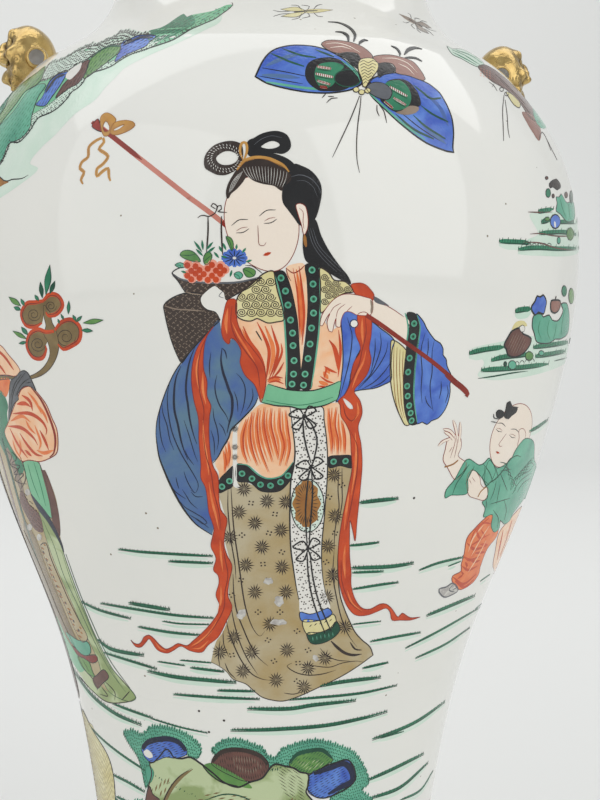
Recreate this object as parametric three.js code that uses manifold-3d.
// Porcelain baluster jar with two gilt lion-mask sprigs on its shoulder.
// The body is thrown in four sections that are luted together with slip.
// Millimetres, +Z up, the origin at the centre of the foot's underside.
import * as THREE from 'three';
import { mergeVertices } from 'three/addons/utils/BufferGeometryUtils.js';
import Module from 'manifold-3d';

// Outer outline of the jar: the driving heights and radii at the changes of its curve
const footRadius = 108;
const footFlareHeight = 45;
const footFlareInset = 10;
const stemHeight = 95;
const stemRadius = 91;
const calfHeight = 149;
const calfSwell = 4.9;
const thighHeight = 220;
const thighSwell = 20.1;
const lowerBellyHeight = 318;
const lowerBellyInset = 18.3;
const bellyHeight = 408;
const bellyRadius = 163.9;
const upperBellyInset = 6.7;
const shoulderInset = 36;
const neckBaseHeight = 538;
const neckBaseFlare = 18.1;
const neckRootFlare = 4.2;
const throatRadius = 79;
const neckHeight = 82;
const lipFlare = 18;

// Where the stations between two driving heights lie, as a share of the way up
const upperBellyShare = 0.485;
const shoulderShare = 0.83;
const neckRootShare = 0.262;
const throatShare = 0.61;

// Walls, foot ring and floor
const wallThickness = 7;
const neckWallThickness = 6;
const lipRollRadius = 3.4;
const footRingWidth = 11;
const footRingDepth = 9;
const footChamfer = 1.6;
const floorThickness = 13;
const floorFillet = 16;

// Luting joints between the thrown sections, each a little below a change of the outline
const waistJointDrop = 9;
const bellyJointDrop = 8;
const neckJointDrop = 3;
const slipThickness = 1.2;
const beadReach = 5;
const beadBulge = 2.4;
const seatGap = 0.3;

// Lion masks: press-moulded heads that look outwards from the shoulder
const maskDrop = 12;
const maskStandOff = 12.4;
const maskDepth = 13.5;
const maskHalfWidth = 16;
const maskHalfHeight = 17.5;
const maskSlipThickness = 1.2;
const maskSlipInset = 1.6;
const earSetBack = 4;
const earDrop = 0.7;
const earRadius = 5.8;
const earHollowRadius = 4.9;
const earHollowShift = 2.6;

// Facets
const turnFacets = 48;
const maskRings = 28;
const maskSpokes = 38;
const earFacets = 12;

const glazeWhite = new THREE.Color(0.86, 0.87, 0.85);
const slipWhite = new THREE.Color(0.8, 0.78, 0.73);
const giltYellow = new THREE.Color(0.83, 0.62, 0.26);
const earGrey = new THREE.Color(0.72, 0.7, 0.66);

const lipHeight = neckBaseHeight + neckHeight;
const upperBellyHeight = THREE.MathUtils.lerp(bellyHeight, neckBaseHeight, upperBellyShare);
const shoulderHeight = THREE.MathUtils.lerp(bellyHeight, neckBaseHeight, shoulderShare);
const neckRootHeight = THREE.MathUtils.lerp(neckBaseHeight, lipHeight, neckRootShare);
const throatHeight = THREE.MathUtils.lerp(neckBaseHeight, lipHeight, throatShare);
const waistJointHeight = thighHeight - waistJointDrop;
const bellyJointHeight = bellyHeight - bellyJointDrop;
const neckJointHeight = neckBaseHeight - neckJointDrop;

const outline = [
  [0, footRadius],
  [footFlareHeight, footRadius - footFlareInset],
  [stemHeight, stemRadius],
  [calfHeight, stemRadius + calfSwell],
  [thighHeight, stemRadius + thighSwell],
  [lowerBellyHeight, bellyRadius - lowerBellyInset],
  [bellyHeight, bellyRadius],
  [upperBellyHeight, bellyRadius - upperBellyInset],
  [shoulderHeight, bellyRadius - shoulderInset],
  [neckBaseHeight, throatRadius + neckBaseFlare],
  [neckRootHeight, throatRadius + neckRootFlare],
  [throatHeight, throatRadius],
  [lipHeight, throatRadius + lipFlare],
];

const wasm = await Module();
wasm.setup();

// Slope of the outline at one station: the chord across its two neighbours.
function stationSlope(i) {
  const below = outline[Math.max(i - 1, 0)];
  const above = outline[Math.min(i + 1, outline.length - 1)];
  return (above[1] - below[1]) / (above[0] - below[0]);
}

// Radius and slope of the outline at a height, by a cubic between two stations.
function outlineAt(height) {
  let i = outline.length - 2;
  while (i > 0 && outline[i][0] > height) i -= 1;
  const span = outline[i + 1][0] - outline[i][0];
  const t = (height - outline[i][0]) / span;
  const r0 = outline[i][1];
  const r1 = outline[i + 1][1];
  const m0 = stationSlope(i) * span;
  const m1 = stationSlope(i + 1) * span;
  const radius = (1 + 2 * t) * (1 - t) ** 2 * r0 + t * (1 - t) ** 2 * m0
    + t * t * (3 - 2 * t) * r1 + t * t * (t - 1) * m1;
  const slope = (6 * t * (t - 1) * (r0 - r1) + (1 - t) * (1 - 3 * t) * m0
    + t * (3 * t - 2) * m1) / span;
  return { radius, slope };
}

const outerRadius = (height) => outlineAt(height).radius;

// A surface beside the outline, a true distance outwards from it, or inwards where negative.
function offsetRadius(height, distance) {
  const { radius, slope } = outlineAt(height);
  return radius + distance * Math.hypot(1, slope);
}

// The wall thins from the shoulder to the neck, over the height of the neck joint.
function innerRadius(height) {
  const t = THREE.MathUtils.smoothstep(height, shoulderHeight, neckRootHeight);
  return offsetRadius(height, -THREE.MathUtils.lerp(wallThickness, neckWallThickness, t));
}

// Ring heights of a section, with one at each end of the luting beads.
function ringHeights(low, high, count, beadLow, beadHigh) {
  const start = beadLow ? low + beadReach : low;
  const end = beadHigh ? high - beadReach : high;
  const heights = beadLow ? [low] : [];
  for (let i = 0; i <= count; i += 1) heights.push(start + (end - start) * i / count);
  if (beadHigh) heights.push(high);
  return heights;
}

// Closed body from a geometry: shared vertices merged, slivers dropped, faces outwards.
function closedBody(geometry) {
  const plain = geometry.index ? geometry.toNonIndexed() : geometry.clone();
  for (const name of Object.keys(plain.attributes)) {
    if (name !== 'position') plain.deleteAttribute(name);
  }
  const merged = mergeVertices(plain, 1e-3);
  const corners = merged.index.array;
  const position = merged.attributes.position;
  const kept = [];
  const a = new THREE.Vector3();
  const b = new THREE.Vector3();
  const c = new THREE.Vector3();
  let volume = 0;
  for (let i = 0; i < corners.length; i += 3) {
    const [p, q, r] = [corners[i], corners[i + 1], corners[i + 2]];
    if (p === q || q === r || r === p) continue;
    a.fromBufferAttribute(position, p);
    b.fromBufferAttribute(position, q);
    c.fromBufferAttribute(position, r);
    volume += a.dot(b.cross(c));
    kept.push(p, q, r);
  }
  if (volume < 0) kept.reverse();
  merged.setIndex(kept);
  return merged;
}

// Revolves a profile of [radius, height] points about the jar's axis.
function turned(profile) {
  const points = profile.map(([radius, height]) => new THREE.Vector2(radius, height));
  const lathe = new THREE.LatheGeometry(points, turnFacets);
  lathe.rotateX(Math.PI / 2);
  return closedBody(lathe);
}

function toSolid(geometry) {
  const body = closedBody(geometry);
  return new wasm.Manifold(new wasm.Mesh({
    numProp: 3,
    vertProperties: new Float32Array(body.attributes.position.array),
    triVerts: new Uint32Array(body.index.array),
  }));
}

function toGeometry(solid) {
  const mesh = solid.getMesh();
  const geometry = new THREE.BufferGeometry();
  geometry.setAttribute('position', new THREE.BufferAttribute(new Float32Array(mesh.vertProperties), 3));
  geometry.setIndex(Array.from(mesh.triVerts));
  return closedBody(geometry);
}

function namedMesh(name, geometry, color, roughness, metalness) {
  geometry.computeVertexNormals();
  const material = new THREE.MeshStandardMaterial({ color, roughness, metalness });
  const mesh = new THREE.Mesh(geometry, material);
  mesh.name = name;
  return mesh;
}

const porcelain = (name, geometry) => namedMesh(name, geometry, glazeWhite, 0.12, 0);
const slip = (name, geometry) => namedMesh(name, geometry, slipWhite, 0.7, 0);
const gilt = (name, geometry) => namedMesh(name, geometry, giltYellow, 0.3, 1);

const halfSlip = slipThickness / 2;
const footHeights = ringHeights(footChamfer, waistJointHeight - halfSlip, 6, false, true);
const bellyHeights = ringHeights(waistJointHeight + halfSlip, bellyJointHeight - halfSlip, 5, true, true);
const shoulderHeights = ringHeights(bellyJointHeight + halfSlip, neckJointHeight - halfSlip, 7, true, true);
const neckHeights = ringHeights(neckJointHeight + halfSlip, lipHeight - lipRollRadius, 6, true, false);

// Plain ring of wall between two joints.
function wallRing(heights) {
  const outside = heights.map((height) => [outerRadius(height), height]);
  const inside = heights.map((height) => [innerRadius(height), height]).reverse();
  return turned([...outside, ...inside, outside[0]]);
}

// Foot section: the trimmed foot ring, the floor and the lower wall in one throwing.
function footSection() {
  const floorTop = footRingDepth + floorThickness;
  const cornerHeight = floorTop + floorFillet;
  const ringInside = footRadius - footRingWidth;
  const outside = footHeights.map((height) => [outerRadius(height), height]);
  const upper = footHeights.filter((height) => height > cornerHeight + beadReach);
  const inside = upper.map((height) => [innerRadius(height), height]).reverse();
  const fillet = [0, 1, 2, 3].map((i) => {
    const turn = i / 3 * Math.PI / 2;
    const reach = innerRadius(cornerHeight) - floorFillet;
    return [reach + floorFillet * Math.cos(turn), cornerHeight - floorFillet * Math.sin(turn)];
  });
  return turned([
    [0, footRingDepth],
    [ringInside - footChamfer, footRingDepth],
    [ringInside, 0],
    [footRadius - footChamfer, 0],
    ...outside,
    ...inside,
    ...fillet,
    [0, floorTop],
  ]);
}

// Neck section with the everted lip, whose edge is a half round.
function neckSection() {
  const outside = neckHeights.map((height) => [outerRadius(height), height]);
  const inside = neckHeights.map((height) => [innerRadius(height), height]).reverse();
  const edgeOuter = outside[outside.length - 1][0];
  const edgeInner = inside[0][0];
  const middle = (edgeOuter + edgeInner) / 2;
  const half = (edgeOuter - edgeInner) / 2;
  const roll = [1, 2, 3].map((i) => {
    const turn = i / 4 * Math.PI;
    return [middle + half * Math.cos(turn), lipHeight - lipRollRadius * (1 - Math.sin(turn))];
  });
  return turned([...outside, ...roll, ...inside, outside[0]]);
}

// Band of slip in a joint: a thin web between the two faces and a smoothed bead inside.
function lutingBand(joint) {
  const low = joint - halfSlip;
  const high = joint + halfSlip;
  const inside = (height) => innerRadius(height) - seatGap;
  return turned([
    [outerRadius(low), low],
    [outerRadius(high), high],
    [inside(high), high],
    [inside(high + beadReach), high + beadReach],
    [inside(joint) - beadBulge, joint],
    [inside(low - beadReach), low - beadReach],
    [inside(low), low],
    [outerRadius(low), low],
  ]);
}

// Solid jar shape grown by a distance, which cuts the back of whatever sits on the shoulder.
function shoulderCutter(distance) {
  const heights = [...shoulderHeights, ...neckHeights];
  const edge = heights.map((height) => [offsetRadius(height, distance), height]);
  return toSolid(turned([
    [0, heights[0]],
    ...edge,
    [0, heights[heights.length - 1]],
  ]));
}

// The mask's relief: bumps on the head, each with its place as seen from the front,
// in degrees to the side and up, its height and its spread in degrees. Side ones are paired.
const reliefMiddle = [
  { up: 76, rise: 1.8, spread: 24 },
  { up: 55, rise: -2.6, spread: 9 },
  { up: 38, rise: 1.4, spread: 9 },
  { up: 21, rise: 3.8, spread: 13 },
  { up: -12, rise: -1.6, spread: 6 },
  { up: -33, rise: 3.6, spread: 12 },
];
const reliefPaired = [
  { side: 20, up: 53, rise: 4.4, spread: 10 },
  { side: 29, up: 32, rise: -2.6, spread: 11 },
  { side: 28, up: 32, rise: 3.4, spread: 6.5 },
  { side: 13, up: 15, rise: 1.8, spread: 7 },
  { side: 17, up: 1, rise: 4.2, spread: 10 },
  { side: 18, up: -16, rise: -2.6, spread: 6 },
  { side: 38, up: -8, rise: -1.8, spread: 6 },
  { side: 45, up: 8, rise: 2.4, spread: 13 },
  { side: 16, up: -36, rise: 1.2, spread: 8 },
];
const curlCount = 16;
const curlRise = 2.2;
const curlSpread = 9;
const curlRing = 70;
const curlTilt = 12;

const maskCentreHeight = neckBaseHeight - maskDrop;
const maskCentreRadius = outerRadius(maskCentreHeight) + maskStandOff;

function direction(side, up) {
  const [s, u] = [side, up].map(THREE.MathUtils.degToRad);
  return new THREE.Vector3(Math.cos(u) * Math.cos(s), Math.cos(u) * Math.sin(s), Math.sin(u));
}

function reliefBumps() {
  const bumps = reliefMiddle.map(({ up, rise, spread }) => ({ at: direction(0, up), rise, spread }));
  for (const { side, up, rise, spread } of reliefPaired) {
    for (const sign of [-1, 1]) bumps.push({ at: direction(sign * side, up), rise, spread });
  }
  const middle = direction(0, curlTilt);
  const sideways = new THREE.Vector3(0, 1, 0);
  for (let i = 0; i < curlCount; i += 1) {
    const at = middle.clone().applyAxisAngle(sideways, -THREE.MathUtils.degToRad(curlRing));
    at.applyAxisAngle(middle, (i + 0.5) / curlCount * 2 * Math.PI);
    bumps.push({ at, rise: curlRise, spread: curlSpread });
  }
  return bumps;
}

// Closed head: an egg whose radius is raised or lowered by each bump, falling off as a bell curve.
function headGeometry(grow) {
  const bumps = reliefBumps();
  const sphere = new THREE.SphereGeometry(1, maskSpokes, maskRings);
  sphere.rotateZ(-Math.PI / 2);
  const position = sphere.attributes.position;
  const d = new THREE.Vector3();
  for (let i = 0; i < position.count; i += 1) {
    d.fromBufferAttribute(position, i).normalize();
    let radius = 1 / Math.hypot(d.x / maskDepth, d.y / maskHalfWidth, d.z / maskHalfHeight);
    for (const { at, rise, spread } of bumps) {
      const away = THREE.MathUtils.radToDeg(Math.acos(THREE.MathUtils.clamp(d.dot(at), -1, 1)));
      radius += rise * Math.exp(-((away / spread) ** 2));
    }
    d.multiplyScalar(radius + grow);
    position.setXYZ(i, d.x + maskCentreRadius, d.y, d.z + maskCentreHeight);
  }
  return sphere;
}

function ball(radius, x, y, z) {
  const sphere = new THREE.SphereGeometry(radius, earFacets, earFacets / 2);
  sphere.translate(x, y, z);
  return toSolid(sphere);
}

// Cupped ear on one side of the head, hollowed towards that side.
function earGeometry(sign) {
  const place = [
    maskCentreRadius - earSetBack,
    sign * maskHalfWidth,
    maskCentreHeight - earDrop,
  ];
  const outer = ball(earRadius, ...place);
  const hollow = ball(earHollowRadius, place[0], place[1] + sign * earHollowShift, place[2]);
  const head = toSolid(headGeometry(seatGap));
  return toGeometry(outer.subtract(hollow).subtract(head).subtract(shoulderCutter(seatGap)));
}

// One lion mask with its ears and the slip that holds it to the shoulder.
function lionMask(side, turn) {
  const group = new THREE.Group();
  const slipBack = seatGap + maskSlipThickness;
  const head = toSolid(headGeometry(0)).subtract(shoulderCutter(slipBack + seatGap));
  const padArea = toSolid(headGeometry(-maskSlipInset));
  const pad = padArea.intersect(shoulderCutter(slipBack)).subtract(shoulderCutter(seatGap));
  group.add(gilt(`${side}_lion_mask`, toGeometry(head)));
  group.add(slip(`${side}_mask_slip`, toGeometry(pad)));
  group.add(namedMesh(`${side}_lion_ear_front`, earGeometry(-Math.cos(turn)), earGrey, 0.3, 0.6));
  group.add(namedMesh(`${side}_lion_ear_back`, earGeometry(Math.cos(turn)), earGrey, 0.3, 0.6));
  group.rotation.z = turn;
  return group;
}

const jar = new THREE.Group();
jar.add(porcelain('foot_section', footSection()));
jar.add(porcelain('belly_section', wallRing(bellyHeights)));
jar.add(porcelain('shoulder_section', wallRing(shoulderHeights)));
jar.add(porcelain('neck_section', neckSection()));
jar.add(slip('waist_luting', lutingBand(waistJointHeight)));
jar.add(slip('belly_luting', lutingBand(bellyJointHeight)));
jar.add(slip('neck_luting', lutingBand(neckJointHeight)));
jar.add(lionMask('right', 0));
jar.add(lionMask('left', Math.PI));

export default jar;
